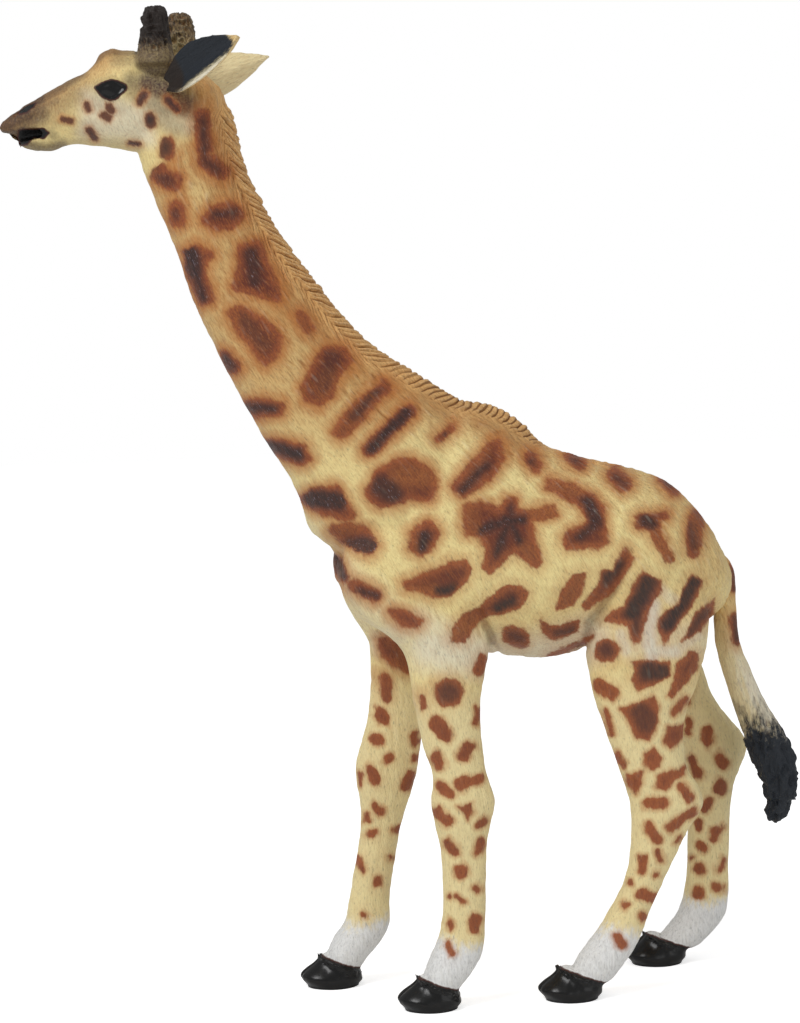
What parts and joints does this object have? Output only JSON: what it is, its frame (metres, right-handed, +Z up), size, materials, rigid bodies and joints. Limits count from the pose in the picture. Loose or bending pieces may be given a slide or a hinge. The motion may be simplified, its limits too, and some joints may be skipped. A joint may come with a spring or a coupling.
{
  "type": "toy giraffe figure",
  "caption": "walking giraffe figure with a long maned neck, turned head, horn knobs, leaf ears, spotted coat, tufted tail and dark hooves",
  "frame": {"origin": "middle of the bounding box in plan, on the ground plane that all four soles touch", "axes": "+Z up, the animal walks and faces towards -Y, its left side is +X"},
  "size_m": [0.0318, 0.135, 0.1688],
  "materials": {
    "painted_coat": "soft plastic moulding, matt hand-sprayed cream and ochre with brown spots",
    "painted_head": "soft plastic moulding, matt ochre and grey paint with gloss black eyes",
    "painted_ears": "soft plastic moulding, cream outside and dark inside",
    "painted_legs": "soft plastic moulding, matt cream with brown spots, white pasterns and gloss black hooves",
    "painted_tail": "soft plastic moulding, matt cream shading to grey and a black tuft"
  },
  "bodies": {
    "root": {"body_left": "painted_coat", "body_right": "painted_coat", "neck": "painted_coat", "head": "painted_head", "ear_left": "painted_ears", "ear_right": "painted_ears", "foreleg_left": "painted_legs", "foreleg_right": "painted_legs", "hindleg_left": "painted_legs", "hindleg_right": "painted_legs", "tail": "painted_tail"}
  },
  "joints": []
}
